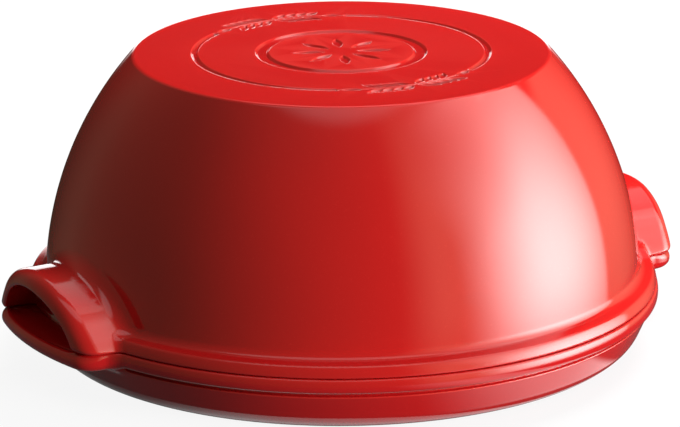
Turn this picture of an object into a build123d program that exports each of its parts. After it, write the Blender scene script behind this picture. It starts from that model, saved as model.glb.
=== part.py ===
from build123d import *
from math import hypot, sqrt
import os

# A covered bread baker in glazed stoneware: a shallow base dish and a dome that lifts off.
# Millimetres, +Z up, origin under the middle of the base, handles along X.

# Plan of the rim, which both pieces share
rim_radius = 147.2
seat_width = 9.8

# Base dish
seat_height = 27.4
bead_swell = 0.7
bead_middle_drop = 3.6
crease_inset = 3.6
crease_drop = 7.5
body_swell = 1.1
body_top_drop = 9.2
body_taper = 8.1
body_corner_round = 14.0
foot_width = 20.6
underside_recess = 1.8
floor_thickness = 7.4
floor_blend = 12.0
dish_wall_run = 8.4

# Dome; its wall is one arc that bulges out from the straight line between its two ends
dome_height = 137.0
wall_thickness = 7.5
wall_foot_inset = 8.2
wall_lean = 42.6
wall_bulge = 9.53
ledge_inner_rise = 7.4
ledge_outer_rise = 5.5
ledge_outer_inset = 1.9
skirt_drop = 4.5

# Fits between the two pieces
seat_gap = 0.3
skirt_clearance = 1.2

# Rounded edges of the clay
top_round = 5.0
inner_top_round = 9.0
wall_foot_blend = 4.2
ledge_round = 1.4
rim_round = 1.0
crease_round = 0.5
seat_inner_round = 1.4
skirt_round = 1.6
foot_round = 0.8

# Rings pressed into the dome's top; the outer one is broken at the front and the back
outer_ring_share = 0.703
inner_ring_share = 0.38
outer_ring_width = 3.8
inner_ring_width = 6.8
ring_depth = 1.2
ring_side_slope = 0.7
ring_break_angle = 31.5

# Hoods: the arched handles on the dome, open beneath and at their outer ends
hood_length = 15.2
hood_half_width = 45.4
hood_height = 27.2
hood_leg_width = 10.0
hood_crown_thickness = 7.3
hood_lip_share = 0.82
hollow_lip_share = 0.15
hood_blend = 6.0
arch_turn_width_share = 0.56
arch_turn_height_share = 0.78

# Lugs: the flat handles on the base
lug_length = 15.7
lug_half_width = 45.4
lug_thickness = 8.2
lug_corner_radius = 12.5
lug_root_radius = 5.0
lug_edge_share = 0.47
dimple_inset = 9.1
dimple_end_inset = 12.6
dimple_half_width = 6.6
dimple_depth = 2.2

# Length by which cutting and joining shapes run past the surfaces that they meet
overrun = 6.0

quarter_turn = 90
half_turn = 180
full_turn = 360

# Radii
seat_inner_radius = rim_radius - seat_width
crease_radius = rim_radius - crease_inset
body_top_radius = crease_radius + body_swell
body_corner_radius = body_top_radius - body_taper
skirt_radius = seat_inner_radius - skirt_clearance
wall_foot_radius = rim_radius - wall_foot_inset
top_corner_radius = wall_foot_radius - wall_lean
hood_reach = rim_radius + hood_length
lug_reach = rim_radius + lug_length

# Rounded edges of the handles, as parts of their thickness
hood_lip_round = hood_lip_share * hood_crown_thickness
hollow_lip_round = hollow_lip_share * hood_crown_thickness
lug_edge_round = lug_edge_share * lug_thickness

# Heights
floor_height = underside_recess + floor_thickness
rim_bottom = seat_height + seat_gap
skirt_bottom = seat_height - skirt_drop
ledge_inner_height = seat_height + ledge_inner_rise
ledge_outer_height = seat_height + ledge_outer_rise

# The wall's arc: half the distance between its ends, and its radius
wall_half_chord = hypot(wall_lean, dome_height - ledge_inner_height) / 2
wall_curve_radius = (wall_half_chord**2 + wall_bulge**2) / (2 * wall_bulge)


def place(radius, height):
    """A point of a turned outline: its distance from the axis and its height."""
    return Vector(radius, 0, height)


def turned(edges, corners, sweep=full_turn):
    """Turn a closed outline about the Z axis, with the listed corners rounded first.

    The turn starts and ends away from the handles.
    """
    face = make_face(edges).face()
    for radius, height, size in corners:
        corner = face.vertices().sort_by_distance(place(radius, height))[0]
        face = face.fillet_2d(size, [corner])
    return revolve(face, Axis.Z, revolution_arc=sweep).rotate(Axis.Z, quarter_turn)


def cylinder(radius, bottom, top):
    """Upright cylinder about the Z axis between two heights."""
    return Location((0, 0, (bottom + top) / 2)) * Cylinder(radius, top - bottom)


def both_ends(shape):
    """A handle's shape at +X together with its twin at -X."""
    return shape + shape.rotate(Axis.Z, half_turn)


def wall_centre():
    """Centre of the arc that the dome's wall follows: its distance from the axis and height."""
    away = (wall_curve_radius - wall_bulge) / (2 * wall_half_chord)
    radius = (wall_foot_radius + top_corner_radius) / 2 - away * (dome_height - ledge_inner_height)
    height = (dome_height + ledge_inner_height) / 2 - away * wall_lean
    return radius, height


def wall_radius(height, inset=0):
    """Distance from the axis to the dome's wall at a height, or to the surface behind it."""
    centre_radius, centre_height = wall_centre()
    return centre_radius + sqrt((wall_curve_radius - inset) ** 2 - (height - centre_height) ** 2)


def wall_arc(top, bottom, inset=0):
    """The wall's arc between two heights."""
    heights = (top, (top + bottom) / 2, bottom)
    return ThreePointArc(*[place(wall_radius(height, inset), height) for height in heights])


def dome_core():
    """The dome as a plain filled shape: flat top, curved wall and locating skirt."""
    outline = [
        Line(place(0, dome_height), place(top_corner_radius, dome_height)),
        wall_arc(dome_height, rim_bottom),
        Polyline(
            place(wall_radius(rim_bottom), rim_bottom),
            place(skirt_radius, rim_bottom),
            place(skirt_radius, skirt_bottom),
            place(0, skirt_bottom),
            place(0, dome_height),
        ),
    ]
    corners = [
        (top_corner_radius, dome_height, top_round),
        (skirt_radius, skirt_bottom, skirt_round),
    ]
    return turned(outline, corners)


def dome_flange():
    """The ring round the wall's foot: a concave blend, a narrow ledge and the rim band."""
    inside = wall_foot_radius - wall_thickness / 2
    blend_top = ledge_inner_height + 2 * wall_foot_blend
    outline = [
        wall_arc(blend_top, ledge_inner_height),
        Polyline(
            place(wall_foot_radius, ledge_inner_height),
            place(rim_radius - ledge_outer_inset, ledge_outer_height),
            place(rim_radius, rim_bottom),
            place(inside, rim_bottom),
            place(inside, blend_top),
            place(wall_radius(blend_top), blend_top),
        ),
    ]
    corners = [
        (wall_foot_radius, ledge_inner_height, wall_foot_blend),
        (rim_radius - ledge_outer_inset, ledge_outer_height, ledge_round),
        (rim_radius, rim_bottom, rim_round),
    ]
    return turned(outline, corners)


def dome_cavity():
    """The space for the loaf: the wall's arc and the flat top, both moved in by the wall."""
    top = dome_height - wall_thickness
    bottom = skirt_bottom - overrun
    corner = wall_radius(top, wall_thickness)
    outline = [
        Line(place(0, top), place(corner, top)),
        wall_arc(top, bottom, wall_thickness),
        Polyline(
            place(wall_radius(bottom, wall_thickness), bottom),
            place(0, bottom),
            place(0, top),
        ),
    ]
    return turned(outline, [(corner, top, inner_top_round)])


def pressed_ring(radius, width, sweep):
    """A pressed ring or arc as a cutting shape: flat bottom, sloping sides."""
    bottom = dome_height - ring_depth
    top = dome_height + overrun
    inside = radius - width / 2
    outside = radius + width / 2
    section = Polyline(
        place(inside, top),
        place(inside, dome_height),
        place(inside + ring_side_slope, bottom),
        place(outside - ring_side_slope, bottom),
        place(outside, dome_height),
        place(outside, top),
        close=True,
    )
    return turned([section], [], sweep)


def pressed_rings():
    """The whole inner ring and the two arcs of the outer ring."""
    sweep = half_turn - 2 * ring_break_angle
    arc = pressed_ring(outer_ring_share * top_corner_radius, outer_ring_width, sweep)
    arc = arc.rotate(Axis.Z, -quarter_turn - sweep / 2)
    whole = pressed_ring(inner_ring_share * top_corner_radius, inner_ring_width, full_turn)
    return whole + both_ends(arc)


def tunnel(half_width, height, drop=0):
    """Arched tunnel along X from the dome's axis out past the lip, on the rim plane.

    The arch is three arcs: a crown, and a side at each hand that runs on from it.
    """
    bottom = rim_bottom - drop
    turn_width = half_width * arch_turn_width_share
    turn_height = rim_bottom + height * arch_turn_height_share
    near = Vector(0, -turn_width, turn_height)
    far = Vector(0, turn_width, turn_height)
    near_leg = Vector(0, -half_width, bottom)
    far_leg = Vector(0, half_width, bottom)
    crown = ThreePointArc(near, Vector(0, 0, rim_bottom + height), far)
    far_side = TangentArc(far, far_leg, tangent=crown % 1)
    near_side = TangentArc(near, near_leg, tangent=-(crown % 0))
    face = make_face([crown, far_side, near_side, Line(near_leg, far_leg)]).face()
    return extrude(face, amount=hood_reach + overrun, dir=(1, 0, 0))


def above_rim(edge):
    """True for an edge that isn't on the rim plane."""
    return (edge @ 0.5).Z > rim_bottom + seat_gap


def at_lip(edge):
    """True for an edge at a hood's outer end that isn't on the rim plane."""
    middle = edge @ 0.5
    return above_rim(edge) and hypot(middle.X, middle.Y) > hood_reach - seat_gap


def hood_block():
    """A hood before it is hollowed, with its outer edge rounded."""
    block = tunnel(hood_half_width, hood_height)
    block = block & cylinder(hood_reach, rim_bottom, dome_height)
    return block.fillet(hood_lip_round, block.edges().filter_by(at_lip))


def dome():
    """The cloche: a dome with two hoods, a ledged rim and pressed rings on its flat top."""
    core = dome_core()
    flange = dome_flange()
    blocks = both_ends(hood_block())
    joined = core + blocks
    seams = new_edges(core, blocks, combined=joined).filter_by(above_rim)
    solid = joined.fillet(hood_blend, seams) + flange
    half_width = hood_half_width - hood_leg_width
    height = hood_height - hood_crown_thickness
    hollows = both_ends(tunnel(half_width, height, overrun)) - core - flange
    open_hoods = solid - hollows
    lips = new_edges(solid, hollows, combined=open_hoods).filter_by(at_lip)
    open_hoods = open_hoods.fillet(hollow_lip_round, lips)
    return open_hoods - dome_cavity() - pressed_rings()


def base_shell():
    """The base without its handles: dish, seat, bead, crease, tapered body and foot."""
    seat_bottom = skirt_bottom - skirt_clearance
    crease_height = seat_height - crease_drop
    body_top_height = seat_height - body_top_drop
    foot_inner_radius = body_corner_radius - foot_width
    floor_radius = seat_inner_radius - dish_wall_run
    outline = [
        Polyline(
            place(0, floor_height),
            place(floor_radius, floor_height),
            place(seat_inner_radius, seat_bottom),
            place(seat_inner_radius, seat_height),
            place(rim_radius, seat_height),
        ),
        ThreePointArc(
            place(rim_radius, seat_height),
            place(rim_radius + bead_swell, seat_height - bead_middle_drop),
            place(crease_radius, crease_height),
        ),
        Polyline(
            place(crease_radius, crease_height),
            place(body_top_radius, body_top_height),
            place(body_corner_radius, 0),
            place(foot_inner_radius, 0),
            place(foot_inner_radius, underside_recess),
            place(0, underside_recess),
            place(0, floor_height),
        ),
    ]
    corners = [
        (floor_radius, floor_height, floor_blend),
        (seat_inner_radius, seat_height, seat_inner_round),
        (rim_radius, seat_height, rim_round),
        (crease_radius, crease_height, crease_round),
        (body_top_radius, body_top_height, crease_round),
        (body_corner_radius, 0, body_corner_round),
        (foot_inner_radius, 0, foot_round),
        (foot_inner_radius, underside_recess, foot_round),
    ]
    return turned(outline, corners)


def lug_plan():
    """Outline from above of both lugs and the round rim, with its corners rounded."""
    lugs = Rectangle(2 * lug_reach + overrun, 2 * lug_half_width) & Circle(lug_reach)
    plan = Circle(rim_radius) + lugs
    roots = plan.vertices().filter_by(lambda corner: hypot(corner.X, corner.Y) < lug_reach - overrun)
    plan = fillet(roots, lug_root_radius)
    tips = plan.vertices().filter_by(lambda corner: hypot(corner.X, corner.Y) > lug_reach - seat_gap)
    return fillet(tips, lug_corner_radius)


def lug_ring():
    """Both lugs with the ring that joins them inside the bead, edges rounded."""
    bottom = seat_height - lug_thickness
    plate = Location((0, 0, bottom)) * extrude(lug_plan(), amount=lug_thickness)
    faces = plate.faces().sort_by(Axis.Z)
    plate = plate.fillet(lug_edge_round, faces[0].edges() + faces[-1].edges())
    inside = (seat_inner_radius + crease_radius) / 2
    return plate - cylinder(inside, bottom - overrun, seat_height + overrun)


def dimple():
    """The shallow hollow for the fingers in a lug's upper face."""
    half_length = lug_half_width - dimple_end_inset
    bowl = scale(Sphere(1), by=(dimple_half_width, half_length, dimple_depth))
    return Location((lug_reach - dimple_inset, 0, seat_height)) * bowl


def base():
    """The base dish with its two lugs."""
    return base_shell() + lug_ring() - both_ends(dimple())


if __name__ == "__main__":
    os.makedirs("parts", exist_ok=True)
    for name, piece in (("base_dish", base()), ("cloche_dome", dome())):
        print(name, "valid", piece.is_valid, "solids", len(piece.solids()), "volume", piece.volume)
        export_step(piece, f"parts/{name}.step")
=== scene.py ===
import math

import bpy
import numpy as np
from bpy.props import FloatProperty, FloatVectorProperty, IntProperty, PointerProperty
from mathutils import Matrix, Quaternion, Vector


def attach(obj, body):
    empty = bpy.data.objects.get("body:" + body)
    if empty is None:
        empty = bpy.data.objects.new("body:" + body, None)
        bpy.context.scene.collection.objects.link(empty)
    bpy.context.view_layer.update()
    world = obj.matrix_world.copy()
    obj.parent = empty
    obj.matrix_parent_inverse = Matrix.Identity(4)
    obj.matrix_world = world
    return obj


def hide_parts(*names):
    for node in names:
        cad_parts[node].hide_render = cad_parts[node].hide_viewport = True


bl_info = {
    "name": "Covered bread baker",
    "version": (1, 0, 0),
    "blender": (4, 5, 0),
    "location": "3D View > Sidebar > Bread Baker",
    "description": "Builds a glazed stoneware bread baker, base dish and dome, on a pale floor",
    "category": "Object",
}

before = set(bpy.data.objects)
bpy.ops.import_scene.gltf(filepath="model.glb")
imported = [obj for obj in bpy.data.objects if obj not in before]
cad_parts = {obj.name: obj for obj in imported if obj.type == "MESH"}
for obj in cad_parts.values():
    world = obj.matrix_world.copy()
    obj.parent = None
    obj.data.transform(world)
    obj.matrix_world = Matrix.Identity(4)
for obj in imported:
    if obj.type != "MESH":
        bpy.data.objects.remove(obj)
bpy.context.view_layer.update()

MILLIMETRE = 0.001

# Lengths below are in millimetres, in the part's own frame: Z up, handles along X.

# Rim, shared by both pieces
RIM_RADIUS = 147.2
SEAT_HEIGHT = 27.4
RIM_BOTTOM = 27.7
SEAT_INNER_RADIUS = 137.4

# Dome
DOME_HEIGHT = 137.0
TOP_CORNER_RADIUS = 96.4
WALL_FOOT_RADIUS = 139.0
LEDGE_INNER_HEIGHT = 34.8
LEDGE_OUTER_HEIGHT = 32.9
LEDGE_OUTER_RADIUS = 145.3
WALL_BULGE = 9.53
WALL_THICKNESS = 7.5
SKIRT_RADIUS = 136.2
SKIRT_BOTTOM = 22.9
SKIRT_TOP = 40.0

# Base dish
BEAD_RADIUS = 147.9
BEAD_MIDDLE = 23.8
BEAD_BOTTOM = 20.3
NECK_RADIUS, NECK_FOOT = 143.2, 17.0
SHOULDER = (143.2, 18.8)
BODY_TOP = (144.7, 18.3)
BODY_CORNER = (136.6, 0.0)
FOOT_INNER_RADIUS = 116.0
FOOT_SLOPE = 1.8
UNDERSIDE_RECESS = 1.8
FLOOR_HEIGHT = 9.2
FLOOR_RADIUS = 129.0
SEAT_BOTTOM = 21.7

# Rounded edges of the clay
TOP_ROUND = 3.0
INNER_TOP_ROUND = 9.0
FOOT_BLEND = 4.2
LEDGE_ROUND = 1.4
RIM_ROUND = 1.0
CREASE_ROUND = 0.5
BEAD_ROUND = 2.0
BAND_BOW = 0.35
SEAT_ROUND = 1.4
SKIRT_ROUND = 1.6
BODY_ROUND = 14.0
FLOOR_BLEND = 12.0
SEAT_FOOT_BLEND = 3.0

# Hoods on the dome
HOOD_REACH = 162.4
HOOD_HALF_WIDTH = 45.4
HOOD_HEIGHT = 27.2
HOLLOW_HALF_WIDTH = 35.4
HOLLOW_HEIGHT = 19.9
HOOD_LIP_ROUND = 6.2
HOLLOW_LIP_ROUND = 1.4
HOOD_LEG_ROUND = 2.4
HOOD_FOOT_FLARE = 1.5
HOOD_FOOT_HEIGHT = 11.0
HOOD_BLEND = 6.0
ARCH_TURN_WIDTH = 0.56
ARCH_TURN_HEIGHT = 0.78

# Lugs on the base
LUG_REACH = 162.9
LUG_HALF_WIDTH = 45.4
LUG_THICKNESS = 8.2
LUG_CORNER = 12.5
LUG_ROOT = 5.0
LUG_EDGE_ROUND = 3.9
DIMPLE_PLACE = 153.8
DIMPLE_SIZES = (6.6, 32.8, 2.2)
DIMPLE_EDGE = 2.4

# Rings and grains pressed into the dome's top
OUTER_RING = (67.8, 3.8)
INNER_RING = (36.6, 6.8)
RING_DEPTH = 1.2
RING_SLOPE = 1.6
RING_BREAK = math.radians(31.5)
GRAIN_DEPTH = 1.0
GRAIN_SLOPE = 1.2
EAR_FIRST = 5.5
EAR_STEP = 4.8
EAR_GRAINS = 4
GRAIN_SPREAD = 4.1
GRAIN_LEAN = math.radians(34)
GRAIN_SIZES = (5.2, 2.1)
STEM_WIDTH = 1.6
ROSE_PLACE = 15.0
ROSE_SIZES = (8.2, 2.5)
ROSE_ANGLE = math.radians(22.5)

# Fineness of the grids that the surfaces are drawn on: from, to, step
DOME_ANGLES = ((0, 24, 0.35), (24, 57, 1.5), (57, 90, 0.45))
DOME_RADII = (
    (0, 5, 1.25), (5, 25, 0.6), (25, 32, 2.3), (32, 41.4, 0.35), (41.4, 61, 2.5), (61, 75.4, 0.4),
    (75.4, 89, 2.3), (89, 98, 0.6), (98, 128, 2.0), (128, 139, 0.9), (139, 163, 0.55),
)
DOME_HEIGHTS = ((21.5, 37, 0.5), (37, 58, 0.6), (58, 127, 2.5), (127, 134, 0.9), (134, 138.5, 0.35))
BASE_ANGLES = ((0, 22, 0.4), (22, 90, 1.5))
BASE_RADII = ((0, 112, 4), (112, 120, 0.5), (120, 130, 1), (130, 150, 0.45), (150, 166, 0.55))
BASE_HEIGHTS = ((-1.2, 4, 0.45), (4, 8, 1), (8, 12, 0.6), (12, 17, 1), (17, 29, 0.4))

# Moving points onto the surface: step for its slope, rounds, flattest slope and longest move
SLOPE_STEP = 0.02
SETTLE_ROUNDS = 2
LEAST_SLOPE = 0.05
LONGEST_MOVE = 0.6

# Tiny values that keep a division sound: on the axis, and in the lugs' dimples
AXIS_GUARD = 1e-9
DIMPLE_GUARD = 1e-6

# Edges: how far beside a point the surface is compared, and a direction no normal lies along
EDGE_REACH = 0.9
ASLANT = (0.3, 0.5, 0.81)

# Corners of long triangles: how far in they look for their normal, and the turn that makes them
INWARD_SHARE = 0.3
INWARD_LEAST = 0.25
INWARD_TURN = math.radians(2.5)


def joined(a, b, size, turn=0.0):
    """Union of two distances with a concave fillet; turn is the cosine between their normals."""
    return -met(-a, -b, size, turn)


def met(a, b, size, turn=0.0):
    """Intersection of two distances with its edge rounded to a true radius."""
    across = 1 - turn * turn
    first = ((a + size) - turn * (b + size)) / across
    second = ((b + size) - turn * (a + size)) / across
    around = np.sqrt(np.maximum(first * (a + size) + second * (b + size), 0)) - size
    return np.where((first > 0) & (second > 0), around, np.maximum(a, b))


def half_plane(r, z, start, end):
    """Distance from the line through two points of an outline, positive to the left of it."""
    along = np.subtract(end, start)
    length = np.hypot(*along)
    return ((z - start[1]) * along[0] - (r - start[0]) * along[1]) / length


def normal_of(start, end):
    """Unit normal of the half plane through two points of an outline."""
    along = np.subtract(end, start)
    return np.array((-along[1], along[0])) / np.hypot(*along)


def smooth(value):
    """A soft step from 0 to 1."""
    value = np.clip(value, 0, 1)
    return value * value * (3 - 2 * value)


def circle_through(first, second, third):
    """Centre and radius of the circle through three points."""
    (ax, ay), (bx, by), (cx, cy) = first, second, third
    twice = 2 * (ax * (by - cy) + bx * (cy - ay) + cx * (ay - by))
    a, b, c = ax * ax + ay * ay, bx * bx + by * by, cx * cx + cy * cy
    x = (a * (by - cy) + b * (cy - ay) + c * (ay - by)) / twice
    y = (a * (cx - bx) + b * (ax - cx) + c * (bx - ax)) / twice
    return x, y, math.hypot(ax - x, ay - y)


def wall_circle():
    """Centre and radius of the arc that the dome's wall follows."""
    lean = WALL_FOOT_RADIUS - TOP_CORNER_RADIUS
    rise = DOME_HEIGHT - LEDGE_INNER_HEIGHT
    half = math.hypot(lean, rise) / 2
    radius = (half * half + WALL_BULGE * WALL_BULGE) / (2 * WALL_BULGE)
    away = (radius - WALL_BULGE) / (2 * half)
    centre_radius = (WALL_FOOT_RADIUS + TOP_CORNER_RADIUS) / 2 - away * rise
    centre_height = (DOME_HEIGHT + LEDGE_INNER_HEIGHT) / 2 - away * lean
    return centre_radius, centre_height, radius


WALL = wall_circle()
BEAD = circle_through(
    (RIM_RADIUS, SEAT_HEIGHT),
    (BEAD_RADIUS, BEAD_MIDDLE),
    (RIM_RADIUS, 2 * BEAD_MIDDLE - SEAT_HEIGHT),
)


def pressed(distance, depth, run):
    """Depth of a pressed shape: flat inside it, with a soft slope of the given run at its edge."""
    return depth * smooth(-distance / run)


def grain(u, v, place, sizes, lean=0.0):
    """Distance from a grain of wheat, pointed at both ends."""
    cos, sin = math.cos(lean), math.sin(lean)
    along = (u - place[0]) * cos + (v - place[1]) * sin
    across = np.abs((v - place[1]) * cos - (u - place[0]) * sin)
    length, width = sizes
    bow = (length * length - width * width) / (2 * width)
    return np.hypot(along, across + bow) - (bow + width)


def top_relief(x, y, r):
    """How far the dome's top is pressed in: two rings, wheat ears in their gaps, and a rose."""
    angle = np.arctan2(np.abs(y), np.abs(x) + AXIS_GUARD)
    middle, width = OUTER_RING
    past = np.maximum(angle - (math.pi / 2 - RING_BREAK), 0) * middle
    depth = pressed(np.hypot(past, r - middle) - width / 2, RING_DEPTH, RING_SLOPE)
    inner = np.abs(r - INNER_RING[0]) - INNER_RING[1] / 2
    depth = np.maximum(depth, pressed(inner, RING_DEPTH, RING_SLOPE))
    u, v = (math.pi / 2 - angle) * middle, r - middle
    last = EAR_FIRST + EAR_STEP * EAR_GRAINS
    marks = np.hypot(np.maximum(u - last, 0), v) - STEM_WIDTH / 2
    marks = np.minimum(marks, grain(u, v, (last + GRAIN_SIZES[0], 0), GRAIN_SIZES))
    for number in range(EAR_GRAINS):
        place = EAR_FIRST + EAR_STEP * number
        for side in (1, -1):
            one = grain(u, v, (place, side * GRAIN_SPREAD), GRAIN_SIZES, side * GRAIN_LEAN)
            marks = np.minimum(marks, one)
    for turn in (ROSE_ANGLE, math.pi / 2 - ROSE_ANGLE):
        out, aside = r * np.cos(angle - turn), r * np.sin(angle - turn)
        marks = np.minimum(marks, grain(out, aside, (ROSE_PLACE, 0), ROSE_SIZES))
    return np.maximum(depth, pressed(marks, GRAIN_DEPTH, GRAIN_SLOPE))


def arch(y, z, half_width, height):
    """Distance from a hood's arch on the rim plane: a crown arc and a side arc at each hand."""
    y, z = np.abs(y), z - RIM_BOTTOM
    turn_y, turn_z = half_width * ARCH_TURN_WIDTH, height * ARCH_TURN_HEIGHT
    _, crown_z, crown = circle_through((-turn_y, turn_z), (0, height), (turn_y, turn_z))
    inward = np.array((-turn_y, crown_z - turn_z)) / crown
    leg = np.array((half_width - turn_y, -turn_z))
    side = leg @ leg / (2 * leg @ inward)
    side_y, side_z = turn_y + inward[0] * side, turn_z + inward[1] * side
    over = (y * (turn_z - crown_z) - (z - crown_z) * turn_y) < 0
    from_crown = np.hypot(y, z - crown_z) - crown
    from_side = np.hypot(y - side_y, z - side_z) - side
    return np.where(over, from_crown, from_side)


def hood(y, r, z):
    """Distance from an arched hood, open beneath and at its end, its legs flared at the foot."""
    foot = HOOD_FOOT_FLARE * smooth(1 - (z - RIM_BOTTOM) / HOOD_FOOT_HEIGHT)
    outside = arch(y, z, HOOD_HALF_WIDTH, HOOD_HEIGHT) - foot
    block = met(outside, r - HOOD_REACH, HOOD_LIP_ROUND)
    return met(block, -arch(y, z, HOLLOW_HALF_WIDTH, HOLLOW_HEIGHT), HOLLOW_LIP_ROUND)


def handle_edge(r, reach, handle_round):
    """Rounding of an edge: the rim's own, growing outwards to the one at a handle's reach."""
    share = smooth((r - RIM_RADIUS) / (reach - RIM_RADIUS))
    return RIM_ROUND + (handle_round - RIM_ROUND) * share


def dome_field(x, y, r, z):
    """Distance from the dome's surface, negative inside the clay."""
    wall = np.hypot(r - WALL[0], z - WALL[1]) - WALL[2]
    top = z - (DOME_HEIGHT - top_relief(x, y, r))
    corner_turn = (DOME_HEIGHT - WALL[1]) / WALL[2]
    core = met(wall, top, TOP_ROUND, corner_turn)
    ledge_inner = (WALL_FOOT_RADIUS, LEDGE_INNER_HEIGHT)
    ledge_outer = (LEDGE_OUTER_RADIUS, LEDGE_OUTER_HEIGHT)
    band_foot = (RIM_RADIUS, RIM_BOTTOM)
    ledge_normal = normal_of(ledge_inner, ledge_outer)
    band_normal = normal_of(ledge_outer, band_foot)
    ledge = half_plane(r, z, ledge_inner, ledge_outer)
    band = half_plane(r, z, ledge_outer, band_foot)
    along = half_plane(r, z, ledge_outer, np.add(ledge_outer, band_normal))
    length = math.dist(ledge_outer, band_foot)
    band = band - BAND_BOW * (1 - (2 * np.abs(along) / length - 1) ** 2)
    flange = met(ledge, band, LEDGE_ROUND, ledge_normal @ band_normal)
    body = joined(core, hood(y, r, z), HOOD_BLEND)
    body = joined(body, flange, FOOT_BLEND, ledge_normal[0])
    body = met(body, RIM_BOTTOM - z, handle_edge(r, HOOD_REACH, HOOD_LEG_ROUND))
    skirt = met(r - SKIRT_RADIUS, SKIRT_BOTTOM - z, SKIRT_ROUND)
    body = np.minimum(body, np.maximum(skirt, z - SKIRT_TOP))
    inner_wall = np.hypot(r - WALL[0], z - WALL[1]) - (WALL[2] - WALL_THICKNESS)
    inner_top = z - (DOME_HEIGHT - WALL_THICKNESS)
    cavity = met(inner_wall, inner_top, INNER_TOP_ROUND, corner_turn)
    return met(body, -cavity, SKIRT_ROUND)


def base_field(x, y, r, z):
    """Distance from the base dish's surface, negative inside the clay."""
    face = np.hypot(np.maximum(r - BEAD[0], 0), z - BEAD[1]) - BEAD[2]
    bead = met(face, BEAD_BOTTOM - z, BEAD_ROUND)
    taper = half_plane(r, z, BODY_TOP, BODY_CORNER)
    shoulder = half_plane(r, z, SHOULDER, BODY_TOP)
    taper_normal = normal_of(BODY_TOP, BODY_CORNER)
    shoulder_turn = taper_normal @ normal_of(SHOULDER, BODY_TOP)
    body = met(taper, shoulder, CREASE_ROUND, shoulder_turn)
    body = joined(body, np.maximum(r - NECK_RADIUS, NECK_FOOT - z), CREASE_ROUND)
    recess = UNDERSIDE_RECESS * smooth((FOOT_INNER_RADIUS - r) / FOOT_SLOPE)
    body = met(body, recess - z, BODY_ROUND, -taper_normal[1])
    body = joined(body, bead, CREASE_ROUND)
    radial_turn = LUG_HALF_WIDTH / LUG_REACH
    side = met(np.abs(y) - LUG_HALF_WIDTH, r - LUG_REACH, LUG_CORNER, radial_turn)
    lug = met(side, SEAT_HEIGHT - LUG_THICKNESS - z, LUG_EDGE_ROUND)
    lug = np.maximum(lug, SEAT_INNER_RADIUS - r)
    body = joined(body, lug, LUG_ROOT)
    body = met(body, z - SEAT_HEIGHT, handle_edge(r, LUG_REACH, LUG_EDGE_ROUND))
    scaled = (np.abs(x) - DIMPLE_PLACE, y, z - SEAT_HEIGHT)
    near = np.sqrt(sum((part / size) ** 2 for part, size in zip(scaled, DIMPLE_SIZES)))
    steep = np.sqrt(sum((part / size**2) ** 2 for part, size in zip(scaled, DIMPLE_SIZES)))
    body = met(body, -near * (near - 1) / np.maximum(steep, DIMPLE_GUARD), DIMPLE_EDGE)
    wall_top, wall_foot = (SEAT_INNER_RADIUS, SEAT_BOTTOM), (FLOOR_RADIUS, FLOOR_HEIGHT)
    dish_wall, wall_normal = half_plane(r, z, wall_top, wall_foot), normal_of(wall_top, wall_foot)
    dish = met(dish_wall, r - SEAT_INNER_RADIUS, SEAT_FOOT_BLEND, wall_normal[0])
    dish = met(dish, FLOOR_HEIGHT - z, FLOOR_BLEND, -wall_normal[1])
    return met(body, -dish, SEAT_ROUND)


def spaced(spans):
    """Grid places over several spans, each with its own step."""
    places = []
    for start, end, step in spans:
        steps = max(round((end - start) / step), 1)
        places.append(np.linspace(start, end, steps + 1)[:-1])
    places.append(np.array([spans[-1][1]]))
    return np.concatenate(places)


def field_values(field, angles, radii, heights):
    """The field on a quarter's grid; the four quarters of each piece are alike."""
    r, z = radii[None, :, None], heights[None, None, :]
    x, y = r * np.cos(angles)[:, None, None], r * np.sin(angles)[:, None, None]
    return field(x, y, r, z)


def crossings(values, cells):
    """Middle of the points where the surface crosses each cell's edges, in grid steps."""
    count = len(values)
    corner = {}
    for a, b, c in np.ndindex(2, 2, 2):
        corner[a, b, c] = values[(cells[:, 0] + a) % count, cells[:, 1] + b, cells[:, 2] + c]
    total, met_edges = np.zeros(cells.shape), np.zeros(len(cells))
    for axis in range(3):
        for others in np.ndindex(2, 2):
            start, end = list(others), list(others)
            start.insert(axis, 0)
            end.insert(axis, 1)
            low, high = corner[tuple(start)], corner[tuple(end)]
            crossed = (low < 0) != (high < 0)
            share = np.divide(low, low - high, out=np.zeros(len(low)), where=crossed)
            point = np.array(start, float)[None, :].repeat(len(low), 0)
            point[:, axis] += share
            total += point * crossed[:, None]
            met_edges += crossed
    return cells + total / met_edges[:, None]


def triangles_between(inside, number):
    """Two triangles for each grid edge that the surface crosses, from the cells round it."""
    count = len(inside)
    found = []
    for axis in range(3):
        if axis == 0:
            crossed = np.roll(inside, -1, 0) != inside
        else:
            crossed = np.diff(inside, axis=axis)
        at = np.argwhere(crossed)
        across = [other for other in range(3) if other != axis]
        for other in across:
            if other:
                at = at[(at[:, other] > 0) & (at[:, other] < inside.shape[other] - 1)]
        ring = []
        for back in ((1, 1), (0, 1), (0, 0), (1, 0)):
            cell = at.copy()
            cell[:, across[0]] -= back[0]
            cell[:, across[1]] -= back[1]
            ring.append(number[cell[:, 0] % count, cell[:, 1], cell[:, 2]])
        first, second, third, fourth = ring
        found.append(np.stack((first, second, third), 1))
        found.append(np.stack((first, third, fourth), 1))
    return np.concatenate(found)


def close_at_axis(cells, number, places):
    """A middle point and a fan of triangles for each ring of cells round the axis."""
    centres, fans = [], []
    for level in np.unique(cells[cells[:, 1] == 0, 2]):
        ring = number[:, 0, level]
        if (ring < 0).any():
            raise RuntimeError("the surface isn't level at the axis")
        middle = np.full(len(ring), len(places) + len(centres))
        centres.append(np.array([0.0, 0.0, places[ring, 2].mean()]))
        fans.append(np.stack((middle, ring, np.roll(ring, -1)), 1))
    return np.array(centres), np.concatenate(fans)


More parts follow.
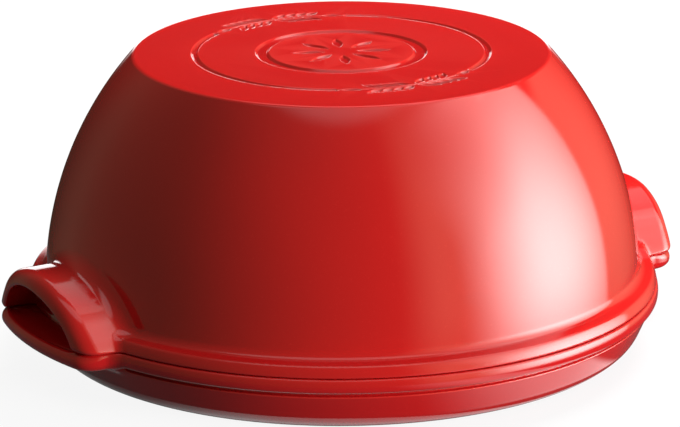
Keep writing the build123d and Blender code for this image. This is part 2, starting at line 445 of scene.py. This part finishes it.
def depth_at(field, points):
    """The field at points."""
    x, y, z = points.T
    return field(x, y, np.hypot(x, y), z)


def slope(field, points):
    """The field's gradient at points."""
    sides = []
    for axis in range(3):
        ends = []
        for sign in (1, -1):
            moved = points.copy()
            moved[:, axis] += sign * SLOPE_STEP
            ends.append(depth_at(field, moved))
        sides.append((ends[0] - ends[1]) / (2 * SLOPE_STEP))
    return np.stack(sides, 1)


def settle(field, points):
    """Move points onto the exact surface."""
    for _ in range(SETTLE_ROUNDS):
        gradient = slope(field, points)
        size = np.maximum((gradient**2).sum(1), LEAST_SLOPE)
        move = np.clip(depth_at(field, points) / size, -LONGEST_MOVE, LONGEST_MOVE)
        points = points - move[:, None] * gradient
    return points


def surface_net(field, angle_spans, radius_spans, height_spans):
    """Points and triangles of a piece's surface, drawn on a grid of angles, radii and heights."""
    quarter = np.radians(spaced(angle_spans))
    radii, heights = spaced(radius_spans), spaced(height_spans)
    last = len(quarter) - 1
    order = [*range(last), *range(last, 0, -1), *range(last), *range(last, 0, -1)]
    steps = np.diff(quarter)
    steps = np.concatenate((steps, steps[::-1], steps, steps[::-1]))
    angles = np.concatenate(([0], np.cumsum(steps)))
    values = field_values(field, quarter, radii, heights)[order]
    inside = values < 0
    around = np.roll(inside, -1, 0)
    filled = np.zeros(inside[:, :-1, :-1].shape, np.int8)
    for block in (inside, around):
        for part in (block[:, :-1, :-1], block[:, 1:, :-1], block[:, :-1, 1:], block[:, 1:, 1:]):
            filled += part
    cells = np.argwhere((filled > 0) & (filled < 8))
    number = np.full(filled.shape, -1, np.int32)
    number[tuple(cells.T)] = np.arange(len(cells))
    at = crossings(values, cells)
    turn = np.interp(at[:, 0], np.arange(len(angles)), angles)
    r = np.interp(at[:, 1], np.arange(len(radii)), radii)
    z = np.interp(at[:, 2], np.arange(len(heights)), heights)
    points = np.stack((r * np.cos(turn), r * np.sin(turn), z), 1)
    faces = triangles_between(inside, number)
    centres, fans = close_at_axis(cells, number, points)
    return np.concatenate((points, centres)), np.concatenate((faces, fans))


def mesh_of(name, points, faces):
    """A mesh of triangles."""
    mesh = bpy.data.meshes.new(name)
    mesh.vertices.add(len(points))
    mesh.vertices.foreach_set("co", points.astype(np.float32).ravel())
    mesh.loops.add(faces.size)
    mesh.loops.foreach_set("vertex_index", faces.astype(np.int32).ravel())
    mesh.polygons.add(len(faces))
    mesh.polygons.foreach_set("loop_start", np.arange(0, faces.size, 3, dtype=np.int32))
    mesh.update(calc_edges=True)
    return mesh


def thinned(mesh, most_faces):
    """The mesh with fewer triangles where the surface is nearly flat."""
    helper = bpy.data.objects.new("thinning", mesh)
    bpy.context.scene.collection.objects.link(helper)
    step = helper.modifiers.new("thin", "DECIMATE")
    step.ratio = min(1, most_faces / len(mesh.polygons))
    evaluated = helper.evaluated_get(bpy.context.evaluated_depsgraph_get())
    result = bpy.data.meshes.new_from_object(evaluated)
    bpy.data.objects.remove(helper)
    bpy.data.meshes.remove(mesh)
    return result


def corners_of(mesh):
    """A mesh's points and triangles as arrays."""
    points = np.empty(len(mesh.vertices) * 3, np.float32)
    mesh.vertices.foreach_get("co", points)
    faces = np.empty(len(mesh.loops), np.int32)
    mesh.loops.foreach_get("vertex_index", faces)
    return points.reshape(-1, 3).astype(float), faces.reshape(-1, 3)


def facing_out(points, faces, normals):
    """The triangles with their corners in the order that faces them out of the clay."""
    first, second, third = (points[faces[:, corner]] for corner in range(3))
    across = np.cross(second - first, third - first)
    away = (across * normals[faces].sum(1)).sum(1)
    return np.where((away < 0)[:, None], faces[:, ::-1], faces)


def unit(vectors):
    """Vectors brought to length 1."""
    return vectors / np.linalg.norm(vectors, axis=1)[:, None]


def edge_turn(field, points, normals):
    """How sharply the surface turns at each point: positive on edges, negative in corners."""
    total = np.zeros(len(points))
    sideways = unit(np.cross(normals, ASLANT))
    for along in (sideways, np.cross(normals, sideways)):
        for reach in (EDGE_REACH, -EDGE_REACH):
            total += depth_at(field, points + reach * along)
    return total / (2 * EDGE_REACH * EDGE_REACH)


def corner_normals(field, points, faces, normals):
    """A normal for each corner, taken further in where a long triangle touches an edge."""
    corners = points[faces]
    inward = INWARD_SHARE * (corners.mean(1, keepdims=True) - corners)
    result = normals[faces]
    long = np.linalg.norm(inward, axis=2) > INWARD_LEAST
    inside = unit(slope(field, (corners + inward)[long]))
    outside = result[long]
    turned = (inside * outside).sum(1) < math.cos(INWARD_TURN)
    result[long] = np.where(turned[:, None], inside, outside)
    return result.reshape(-1, 3)


def glazed_piece(name, field, spans, most_faces):
    """Build a piece's smooth skin and give it exact normals and its edge values."""
    points, faces = surface_net(field, *spans)
    points = settle(field, points)
    faces = facing_out(points, faces, slope(field, points))
    points, faces = corners_of(thinned(mesh_of(name, points, faces), most_faces))
    points = settle(field, points)
    normals = unit(slope(field, points))
    faces = facing_out(points, faces, normals)
    mesh = mesh_of(name, points * MILLIMETRE, faces)
    mesh.polygons.foreach_set("use_smooth", np.ones(len(faces), bool))
    turn = mesh.attributes.new("edge_turn", "FLOAT", "POINT")
    turn.data.foreach_set("value", edge_turn(field, points, normals).astype(np.float32))
    mesh.normals_split_custom_set(corner_normals(field, points, faces, normals))
    piece = bpy.data.objects.new(name, mesh)
    bpy.context.scene.collection.objects.link(piece)
    return piece


class Wire:
    """A socket of a material's nodes, so that shader maths reads as plain expressions."""

    def __init__(self, recipe, socket):
        self.recipe = recipe
        self.socket = socket

    def __add__(self, other):
        return self.recipe.maths("ADD", self, other)

    def __sub__(self, other):
        return self.recipe.maths("SUBTRACT", self, other)

    def __rsub__(self, other):
        return self.recipe.maths("SUBTRACT", other, self)

    def __mul__(self, other):
        return self.recipe.maths("MULTIPLY", self, other)

    __radd__ = __add__
    __rmul__ = __mul__

    def between(self, low, high):
        """1 above high and 0 below low, with a soft step between them."""
        settings = {"interpolation_type": "SMOOTHSTEP"}
        return self.recipe.node("ShaderNodeMapRange", settings, {"Value": self, 1: low, 2: high})


class Recipe:
    """A material or a world that is being made."""

    def __init__(self, owner):
        self.owner = owner
        owner.use_nodes = True
        self.nodes = owner.node_tree.nodes
        self.links = owner.node_tree.links
        self.nodes.clear()

    def node(self, kind, settings=None, inputs=None, output=0):
        """Add a node: its settings first, then a value or a link for each socket that is given."""
        made = self.nodes.new(kind)
        for setting, value in (settings or {}).items():
            setattr(made, setting, value)
        for socket, value in (inputs or {}).items():
            if isinstance(value, Wire):
                self.links.new(value.socket, made.inputs[socket])
            elif made.inputs[socket].type == "RGBA":
                made.inputs[socket].default_value = (*value, 1)
            else:
                made.inputs[socket].default_value = value
        return Wire(self, made.outputs[output]) if len(made.outputs) else None

    def maths(self, operation, *values):
        """What a Math node gives for one or two values."""
        return self.node("ShaderNodeMath", {"operation": operation}, dict(enumerate(values)))

    def vector(self, operation, values, output="Vector"):
        """What a Vector Math node gives; values go to its sockets by their numbers."""
        return self.node("ShaderNodeVectorMath", {"operation": operation}, values, output)

    def along(self, vector, direction):
        """How far a vector reaches in a direction."""
        return self.vector("DOT_PRODUCT", {0: vector, 1: tuple(direction)}, "Value")

    def mix(self, share, first, second):
        """A colour between two colours."""
        settings = {"data_type": "RGBA"}
        return self.node("ShaderNodeMix", settings, {0: share, 6: first, 7: second}, 2)

    def blend(self, share, first, second):
        """A shader between two shaders."""
        return self.node("ShaderNodeMixShader", inputs={0: share, 1: first, 2: second})

    def place(self):
        """The point on the surface, in metres, in the part's frame."""
        return self.node("ShaderNodeTexCoord", output="Object")

    def noise(self, scale, detail):
        """Even noise from 0 to 1, with about scale lumps to a metre."""
        inputs = {"Vector": self.place(), "Scale": scale, "Detail": detail}
        return self.node("ShaderNodeTexNoise", {"noise_dimensions": "3D"}, inputs)

    def bump(self, height, metres):
        """A normal that leans as the height does, where a height of 1 is so many metres."""
        inputs = {"Strength": 1.0, "Distance": metres, "Height": height}
        return self.node("ShaderNodeBump", inputs=inputs)

    def glow(self, colour):
        """Light of a colour, at full strength."""
        return self.node("ShaderNodeEmission", inputs={"Color": colour, "Strength": 1.0})

    def ray(self, kind):
        """1 for rays of a kind and 0 for all others."""
        return self.node("ShaderNodeLightPath", output=kind)

    def finish(self, shader, kind="ShaderNodeOutputMaterial"):
        """Link the shader to the output and give back what was made."""
        self.node(kind, inputs={"Surface": shader})
        return self.owner


class BakerSizes(bpy.types.PropertyGroup):
    """Sizes of the finish that a user would change."""

    dome_faces: IntProperty(
        name="Dome faces", description="Triangles in the dome's skin",
        default=190000, min=20000,
    )
    base_faces: IntProperty(
        name="Base faces", description="Triangles in the base dish's skin",
        default=120000, min=20000,
    )
    wave_height: FloatProperty(
        name="Glaze waves", description="Height of the long waves in the fired glaze",
        default=0.00022, unit="LENGTH", precision=6,
    )
    peel_height: FloatProperty(
        name="Glaze peel", description="Height of the fine dimpling in the fired glaze",
        default=0.000006, unit="LENGTH", precision=7,
    )


class BakerColours(bpy.types.PropertyGroup):
    """Colours of the glaze, the clay and the floor."""

    glaze: FloatVectorProperty(
        name="Glaze", description="The glaze where it lies at its usual thickness",
        subtype="COLOR", size=3, default=(0.58, 0.0085, 0.0085), min=0, max=1,
    )
    # Partly the glaze's colour where it runs thin over an edge, partly a painted highlight
    thin_glaze_and_highlight: FloatVectorProperty(
        name="Thin glaze", description="The glaze where it runs thin over an edge",
        subtype="COLOR", size=3, default=(0.80, 0.045, 0.036), min=0, max=1,
    )
    pooled_glaze: FloatVectorProperty(
        name="Pooled glaze", description="The glaze where it pools in a corner",
        subtype="COLOR", size=3, default=(0.40, 0.004, 0.007), min=0, max=1,
    )
    clay: FloatVectorProperty(
        name="Bare clay", description="The unglazed clay of the standing ring",
        subtype="COLOR", size=3, default=(0.55, 0.36, 0.24), min=0, max=1,
    )
    floor: FloatVectorProperty(
        name="Floor", description="The pale floor", subtype="COLOR", size=3,
        default=(0.75, 0.75, 0.75), min=0, max=1,
    )


class BakerStage(bpy.types.PropertyGroup):
    """Camera and light."""

    camera_distance: FloatProperty(
        name="Camera distance", description="From the camera to the middle of the baker",
        default=1.92693, unit="LENGTH",
    )
    camera_lens: FloatProperty(
        name="Lens", description="Focal length of the camera, in millimetres", default=218.2
    )
    light_power: FloatProperty(
        name="Light", description="Brightness of all the lamps, as a share of the usual",
        default=1.0,
    )


# Noises of the glaze, the clay and the floor: lumps to a metre, and detail
CLOUDS, SPECKS, SHEEN = (22, 3), (900, 1), (60, 2)
WAVES, PEEL = (16, 1), (520, 2)
GRIT = (1500, 3)
FLOOR_CLOUDS = (3, 2)

# Glaze: how strongly each colour comes in, and the turn of the surface at which it does
CLOUD_SHARE = 0.35
SPECK_SHARE = 0.12
SPECK_EDGES = (0.62, 0.8)
POOL_SHARE = 0.6
POOL_EDGES = (0.05, 0.6)
# Lighter colour on the edges: partly thin glaze, partly a painted highlight
THIN_AND_HIGHLIGHT_SHARE = 0.55
THIN_AND_HIGHLIGHT_EDGES = (0.06, 0.75)
THIN_HIGHLIGHT_EVEN, THIN_HIGHLIGHT_CLOUDY = 0.55, 0.5
GLAZE_ROUGH, GLAZE_ROUGHER = 0.07, 0.04
GLAZE_IOR = 1.58

# Bare clay on the standing ring, in metres
CLAY_INNER, CLAY_OUTER = 0.1165, 0.1305
CLAY_TOP = 0.0006
CLAY_EDGE = 0.0005
CLAY_RAGGED = 0.002
GRIT_HEIGHT = 0.00012
CLAY_ROUGH = 0.85
CLAY_SHADE = 0.82


def shaded(colour, share):
    """A colour with each part brought down to a share."""
    return tuple(share * part for part in colour)


def glazed(recipe, colours, sizes, cloud):
    """Deep red gloss, lighter on the edges where the glaze runs thin and as a painted highlight,
    and pooled in the corners.
    """
    turn = recipe.node("ShaderNodeAttribute", {"attribute_name": "edge_turn"}, output="Fac")
    speck = recipe.noise(*SPECKS)
    # Lighter on the edges: partly glaze running thin, partly a painted highlight
    thin = turn.between(*THIN_AND_HIGHLIGHT_EDGES) * (THIN_HIGHLIGHT_EVEN + THIN_HIGHLIGHT_CLOUDY * cloud)
    pooled = (-1 * turn).between(*POOL_EDGES)
    thin_and_highlight_colour, pooled_colour = tuple(colours.thin_glaze_and_highlight), tuple(colours.pooled_glaze)
    body = recipe.mix(cloud * CLOUD_SHARE, tuple(colours.glaze), pooled_colour)
    body = recipe.mix(speck.between(*SPECK_EDGES) * SPECK_SHARE, body, thin_and_highlight_colour)
    body = recipe.mix(pooled * POOL_SHARE, body, pooled_colour)
    body = recipe.mix(thin * THIN_AND_HIGHLIGHT_SHARE, body, thin_and_highlight_colour)
    height = recipe.noise(*WAVES) * sizes.wave_height + recipe.noise(*PEEL) * sizes.peel_height
    return recipe.node("ShaderNodeBsdfPrincipled", inputs={
        "Base Color": body,
        "Roughness": GLAZE_ROUGH + GLAZE_ROUGHER * recipe.noise(*SHEEN),
        "IOR": GLAZE_IOR,
        "Normal": recipe.bump(height, 1.0),
    })


def bare_clay(recipe, colours):
    """Dull gritty clay."""
    grit = recipe.noise(*GRIT)
    return recipe.node("ShaderNodeBsdfPrincipled", inputs={
        "Base Color": recipe.mix(grit, shaded(colours.clay, CLAY_SHADE), tuple(colours.clay)),
        "Roughness": CLAY_ROUGH,
        "Normal": recipe.bump(grit, GRIT_HEIGHT),
    })


def glaze_material(colours, sizes):
    """The glaze, with bare clay where the standing ring was wiped clean."""
    recipe = Recipe(bpy.data.materials.new("red_glaze"))
    cloud = recipe.noise(*CLOUDS)
    place = recipe.place()
    height = recipe.node("ShaderNodeSeparateXYZ", inputs={"Vector": place}, output="Z")
    level = recipe.vector("MULTIPLY", {0: place, 1: (1, 1, 0)})
    ragged = recipe.vector("LENGTH", {0: level}, "Value") + CLAY_RAGGED * (cloud - 0.5)
    ring = ragged.between(CLAY_INNER, CLAY_INNER + CLAY_EDGE)
    ring = ring * (1 - ragged.between(CLAY_OUTER, CLAY_OUTER + CLAY_EDGE))
    bare = ring * (1 - height.between(CLAY_TOP, 2 * CLAY_TOP))
    glaze = glazed(recipe, colours, sizes, cloud)
    return recipe.finish(recipe.blend(bare, glaze, bare_clay(recipe, colours)))


def shared_material():
    """The glaze, made once and used by both pieces."""
    found = bpy.data.materials.get("red_glaze")
    if found is None:
        found = glaze_material(bpy.context.scene.baker_colours, bpy.context.scene.baker_sizes)
    return found


def add_piece(name, field, spans, most_faces, node, body):
    """Build a piece, let it stand for its node and ride on its body."""
    piece = glazed_piece(name, field, spans, most_faces)
    piece.data.materials.append(shared_material())
    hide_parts(node)
    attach(piece, body)


class BAKER_OT_base(bpy.types.Operator):
    """Build the base dish with its two lugs"""

    bl_idname = "baker.base"
    bl_label = "Base dish"

    def execute(self, context):
        faces = context.scene.baker_sizes.base_faces
        spans = (BASE_ANGLES, BASE_RADII, BASE_HEIGHTS)
        add_piece("glazed_base_dish", base_field, spans, faces, "base_dish", "base")
        return {"FINISHED"}


class BAKER_OT_dome(bpy.types.Operator):
    """Build the dome with its two hoods and the pressed rings on its top"""

    bl_idname = "baker.dome"
    bl_label = "Dome"

    def execute(self, context):
        faces = context.scene.baker_sizes.dome_faces
        spans = (DOME_ANGLES, DOME_RADII, DOME_HEIGHTS)
        add_piece("glazed_dome", dome_field, spans, faces, "cloche_dome", "lid")
        return {"FINISHED"}


CAMERA_TURN = math.radians(-29.06)
CAMERA_ELEVATION = math.radians(16.911)
CAMERA_ROLL = math.radians(-0.358)
CAMERA_AIM = 0.06
PICTURE_WIDTH = 680
CAMERA_SHIFT = (-2.26, -3.03)
CAMERA_CLIP = (0.05, 50)

# Floor, in metres: its reach, the ring where it fades for the clay's light, and its colours
FLOOR_HALF = 4.0
FLOOR_FADE = (0.19, 0.26)
FLOOR_NEAR = (0.24, 0.24, 0.24)
FLOOR_GLOW = 0.9
FLOOR_CLOUD_SHARE = 0.1
FLOOR_SHADE = 0.96

# The floor in the glaze's reflections is painted light: a painted bright band under the foot with
# painted shade on the left, a painted shadow beside the foot on the lit side, and a painted pool of
# light towards the lit side, in metres
FOOT_LIGHT = 1.1
FOOT_EDGES = (0.131, 0.135, 0.1405, 0.1412)
# Painted shadow: the band at the foot ends sooner on the lit side, leaving a dark ring by the foot
FOOT_SHADOW_SHIFT = 0.006
FOOT_SHADOW_SIDE = (0, 0.1)
# Painted shade: the share of the band's light kept on the shaded left
FOOT_SHADE_LEFT_SHARE = 0.18
FOOT_SIDE = (-0.1, -0.03)
# Painted light and shade: the floor's dim level in reflections, and the painted light on its lit
# side
TABLE_DIM = 0.1
TABLE_LIGHT = 1.5
TABLE_EDGES = (0.1385, 0.1405)
TABLE_SIDE = (0.035, 0.1, 0.126, 0.132)

# The studio's light: strengths, and angles in degrees round from the camera and up from level
STUDIO_COLOUR = (1, 0.97, 0.65)
STUDIO_LIGHT = 0.17
STUDIO_BACK_SHARE = 0.15
STUDIO_BACK = (-0.98, -0.6)
EVEN_LIGHT = 0.06
EVEN_RISE = (-4, 10)
HIGH_LIGHT = 0.92
HIGH_RISE = (35, 75)
BOX_LIGHT = 11.9
BOX_START, BOX_START_LEAN = 44, -14
BOX_FULL, BOX_FULL_LEAN = 84, 28
BOX_LEAN_RISE = (12, 42)
BOX_DIM = (84, 134)
BOX_DIM_LEAN = 0.3
BOX_CUT = (119.5, 122.5)
BOX_RISE = (-36, 2)
BOX_FALL = (4, 50)
BOX_TOP_SHARE = 0.24
BOX_TOP = (52, 66)
WING_LIGHT = 0.97
WING_EDGES = (20, 40, 105, 172)
WING_CUT = (22, 28)
WING_FALL = (20, 70)
WING_TOP_SHARE = 0.2
WINDOW_LIGHT = 1.0
WINDOW_EDGES = (7, 9, 106, 108)
WINDOW_EDGES_RISE = (42, 44, 70, 72)
BACK_LIGHT = 2.6
BACK_EDGES = (0.965, 0.985)
BACK_RISE = (-9, -7, 8, 10)
TOP_LIGHT = 0.9
TOP_EDGES = (60, 67)
TOP_FRONT = (-0.1, 0.05)

# Lamps that light the clay but aren't mirrored: turn, rise, distance and size in metres, strength
KEY_LAMP = (54, 8, 1.5, 0.5, 1.2)
BACK_LAMP = (150, 45, 1.5, 0.7, 1.8)


def camera_frame():
    """Directions to the camera, to the picture's right, and along the floor to the camera."""
    flat = math.cos(CAMERA_ELEVATION)
    across, away = math.sin(CAMERA_TURN), -math.cos(CAMERA_TURN)
    back = Vector((across * flat, away * flat, math.sin(CAMERA_ELEVATION)))
    return back, Vector((-away, across, 0)), Vector((across, away, 0))


def add_camera(settings):
    """The camera at the photograph's angle."""
    back, _, _ = camera_frame()
    data = bpy.data.cameras.new("camera")
    data.lens = settings.camera_lens
    data.shift_x, data.shift_y = (pixels / PICTURE_WIDTH for pixels in CAMERA_SHIFT)
    data.clip_start, data.clip_end = CAMERA_CLIP
    camera = bpy.data.objects.new("camera", data)
    camera.location = Vector((0, 0, CAMERA_AIM)) + back * settings.camera_distance
    camera.rotation_mode = "QUATERNION"
    roll = Quaternion((0, 0, 1), CAMERA_ROLL)
    camera.rotation_quaternion = (-back).to_track_quat("-Z", "Y") @ roll
    bpy.context.scene.collection.objects.link(camera)
    bpy.context.scene.camera = camera


def painted_floor_light(recipe, distance, side):
    """Painted light on the floor as the glaze mirrors it: a bright band at the foot with a painted
    shadow past it on the lit side, and the painted lit side beyond it.
    """
    # Painted shadow: on the lit side the band stops short, leaving a dark ring by the foot
    shadow_shifted = distance + FOOT_SHADOW_SHIFT * side.between(*FOOT_SHADOW_SIDE)
    under = 1 - shadow_shifted.between(*FOOT_EDGES[2:])
    # Painted shade: the band is dimmer on the left
    foot = FOOT_LIGHT * (FOOT_SHADE_LEFT_SHARE + (1 - FOOT_SHADE_LEFT_SHARE) * side.between(*FOOT_SIDE))
    foot = foot * distance.between(*FOOT_EDGES[:2])
    # Painted pool of light on the lit side, beyond the foot
    lit = side.between(*TABLE_SIDE[:2]) * (1 - side.between(*TABLE_SIDE[2:]))
    lit = TABLE_DIM + TABLE_LIGHT * (lit * distance.between(*TABLE_EDGES))
    return recipe.vector("SCALE", {0: (1, 1, 1), 3: under * foot + (1 - under) * lit})


def floor_material(colour):
    """Pale floor: white with a light shadow to the camera, dim to the clay's own light, and glowing
    with painted light and painted shadow in reflections.
    """
    recipe = Recipe(bpy.data.materials.new("pale_floor"))
    cloud = recipe.noise(*FLOOR_CLOUDS) * FLOOR_CLOUD_SHARE
    shade = recipe.mix(cloud, tuple(colour), shaded(colour, FLOOR_SHADE))
    shadowed = recipe.node("ShaderNodeBsdfDiffuse", inputs={"Color": shade})
    seen = recipe.blend(FLOOR_GLOW, shadowed, recipe.glow((1, 1, 1)))
    distance = recipe.vector("LENGTH", {0: recipe.place()}, "Value")
    side = recipe.along(recipe.place(), camera_frame()[1])
    # Painted light: in reflections the floor glows with painted light and painted shadow instead of
    # being lit
    painted_glow = recipe.glow(painted_floor_light(recipe, distance, side))
    dim = recipe.node("ShaderNodeBsdfDiffuse", inputs={"Color": FLOOR_NEAR})
    near = recipe.blend(recipe.ray("Is Glossy Ray"), dim, painted_glow)
    past = recipe.node("ShaderNodeBsdfTransparent")
    table = recipe.blend(distance.between(*FLOOR_FADE), near, past)
    return recipe.finish(recipe.blend(recipe.ray("Is Camera Ray"), table, seen))


def add_floor(colour):
    """A wide level floor."""
    corners = [(x * FLOOR_HALF, y * FLOOR_HALF, 0) for x, y in ((-1, -1), (1, -1), (1, 1), (-1, 1))]
    mesh = bpy.data.meshes.new("floor")
    mesh.from_pydata(corners, [], [(0, 1, 2, 3)])
    mesh.materials.append(floor_material(colour))
    floor = bpy.data.objects.new("floor", mesh)
    bpy.context.scene.collection.objects.link(floor)


def degrees(angle, span):
    """A soft step of an angle over a span that is given in degrees."""
    return angle.between(*(math.radians(edge) for edge in span))


def lobe(angle, edges):
    """1 between the two middle edges and 0 outside the two outer ones, softly."""
    return degrees(angle, edges[:2]) * (1 - degrees(angle, edges[2:]))


def soft_box(turn, rise):
    """A tall box at the right: it leans back as it rises, and dims sideways and upwards."""
    lean = degrees(rise, BOX_LEAN_RISE)
    start = math.radians(BOX_START) + math.radians(BOX_START_LEAN) * lean
    full = math.radians(BOX_FULL) + math.radians(BOX_FULL_LEAN) * lean
    dimmed = 1 - (1 - BOX_DIM_LEAN * lean) * degrees(turn, BOX_DIM)
    fall = 1 - (1 - BOX_TOP_SHARE) * degrees(rise, BOX_FALL)
    trimmed = (1 - degrees(turn, BOX_CUT)) * (1 - degrees(rise, BOX_TOP))
    upright = degrees(rise, BOX_RISE)
    return BOX_LIGHT * (turn.between(start, full) * dimmed * upright * fall * trimmed)


def wing(turn, rise):
    """A dim screen round the box."""
    fall = 1 - (1 - WING_TOP_SHARE) * degrees(rise, WING_FALL)
    cut = 1 - degrees(turn, BOX_CUT) * degrees(rise, WING_CUT)
    return WING_LIGHT * (lobe(turn, WING_EDGES) * degrees(rise, BOX_RISE) * fall * cut)


def add_world(light):
    """White to the camera, a dim sky to the clay, and a studio with a soft box in reflections."""
    recipe = Recipe(bpy.data.worlds.new("studio"))
    _, right, level = camera_frame()
    way = recipe.node("ShaderNodeTexCoord", output="Generated")
    across, toward, up = (recipe.along(way, axis) for axis in (right, level, (0, 0, 1)))
    turn = recipe.maths("ARCTAN2", across, toward)
    past_side = recipe.maths("ARCTAN2", -1 * toward, across)
    rise = recipe.maths("ARCSINE", up)
    window = WINDOW_LIGHT * (lobe(past_side, WINDOW_EDGES) * lobe(rise, WINDOW_EDGES_RISE))
    behind = BACK_LIGHT * ((-1 * toward).between(*BACK_EDGES) * lobe(rise, BACK_RISE))
    over = TOP_LIGHT * (degrees(rise, TOP_EDGES) * toward.between(*TOP_FRONT))
    camera, mirrored = recipe.ray("Is Camera Ray"), recipe.ray("Is Glossy Ray")
    cards = mirrored * (soft_box(turn, rise) + window + behind + over)
    sky = EVEN_LIGHT * degrees(rise, EVEN_RISE) + HIGH_LIGHT * degrees(rise, HIGH_RISE)
    strength = (1 - camera) * light * (cards + (1 - mirrored) * sky) + camera
    lit = recipe.node("ShaderNodeBackground", inputs={"Color": (1, 1, 1), "Strength": strength})
    front = STUDIO_BACK_SHARE + (1 - STUDIO_BACK_SHARE) * toward.between(*STUDIO_BACK)
    strength = mirrored * light * (STUDIO_LIGHT * front + wing(turn, rise))
    inputs = {"Color": STUDIO_COLOUR, "Strength": strength}
    room = recipe.node("ShaderNodeBackground", inputs=inputs)
    shader = recipe.node("ShaderNodeAddShader", inputs={0: lit, 1: room})
    bpy.context.scene.world = recipe.finish(shader, "ShaderNodeOutputWorld")


def add_lamp(name, lamp, light):
    """A square lamp that faces the baker; its strength is how bright it makes white paper."""
    turn, rise, distance, size, strength = lamp
    turn, rise = math.radians(turn), math.radians(rise)
    _, right, level = camera_frame()
    around = level * math.cos(turn) + right * math.sin(turn)
    way = around * math.cos(rise) + Vector((0, 0, math.sin(rise)))
    data = bpy.data.lights.new(name, "AREA")
    data.size = size
    data.energy = light * strength * (math.pi * distance) ** 2
    made = bpy.data.objects.new(name, data)
    made.location = Vector((0, 0, CAMERA_AIM)) + way * distance
    made.rotation_mode = "QUATERNION"
    made.rotation_quaternion = way.to_track_quat("Z", "Y")
    made.visible_glossy = False
    bpy.context.scene.collection.objects.link(made)


class BAKER_OT_stage(bpy.types.Operator):
    """Set up the floor, the soft light and the camera"""

    bl_idname = "baker.stage"
    bl_label = "Floor, light and camera"

    def execute(self, context):
        scene = context.scene
        add_camera(scene.baker_stage)
        add_floor(scene.baker_colours.floor)
        add_world(scene.baker_stage.light_power)
        add_lamp("key_lamp", KEY_LAMP, scene.baker_stage.light_power)
        add_lamp("back_lamp", BACK_LAMP, scene.baker_stage.light_power)
        scene.view_settings.view_transform = "Standard"
        return {"FINISHED"}


class BAKER_PT_panel(bpy.types.Panel):
    """Lists the baker's pieces in the sidebar"""

    bl_idname = "BAKER_PT_panel"
    bl_label = "Covered bread baker"
    bl_space_type = "VIEW_3D"
    bl_region_type = "UI"
    bl_category = "Bread Baker"

    def draw(self, context):
        scene = context.scene
        for group in (scene.baker_sizes, scene.baker_colours, scene.baker_stage):
            box = self.layout.box()
            for name in group.__annotations__:
                box.prop(group, name)
        for kind in OPERATORS:
            self.layout.operator(kind.bl_idname)


OPERATORS = (BAKER_OT_base, BAKER_OT_dome, BAKER_OT_stage)
GROUPS = {"baker_sizes": BakerSizes, "baker_colours": BakerColours, "baker_stage": BakerStage}


def register():
    for kind in (*GROUPS.values(), *OPERATORS, BAKER_PT_panel):
        bpy.utils.register_class(kind)
    for name, kind in GROUPS.items():
        setattr(bpy.types.Scene, name, PointerProperty(type=kind))


def unregister():
    for name in GROUPS:
        delattr(bpy.types.Scene, name)
    for kind in (BAKER_PT_panel, *OPERATORS[::-1], *GROUPS.values()):
        bpy.utils.unregister_class(kind)


def main():
    register()
    bpy.ops.baker.base()
    bpy.ops.baker.dome()
    bpy.ops.baker.stage()
    bpy.context.view_layer.update()


if __name__ == "__main__":
    main()
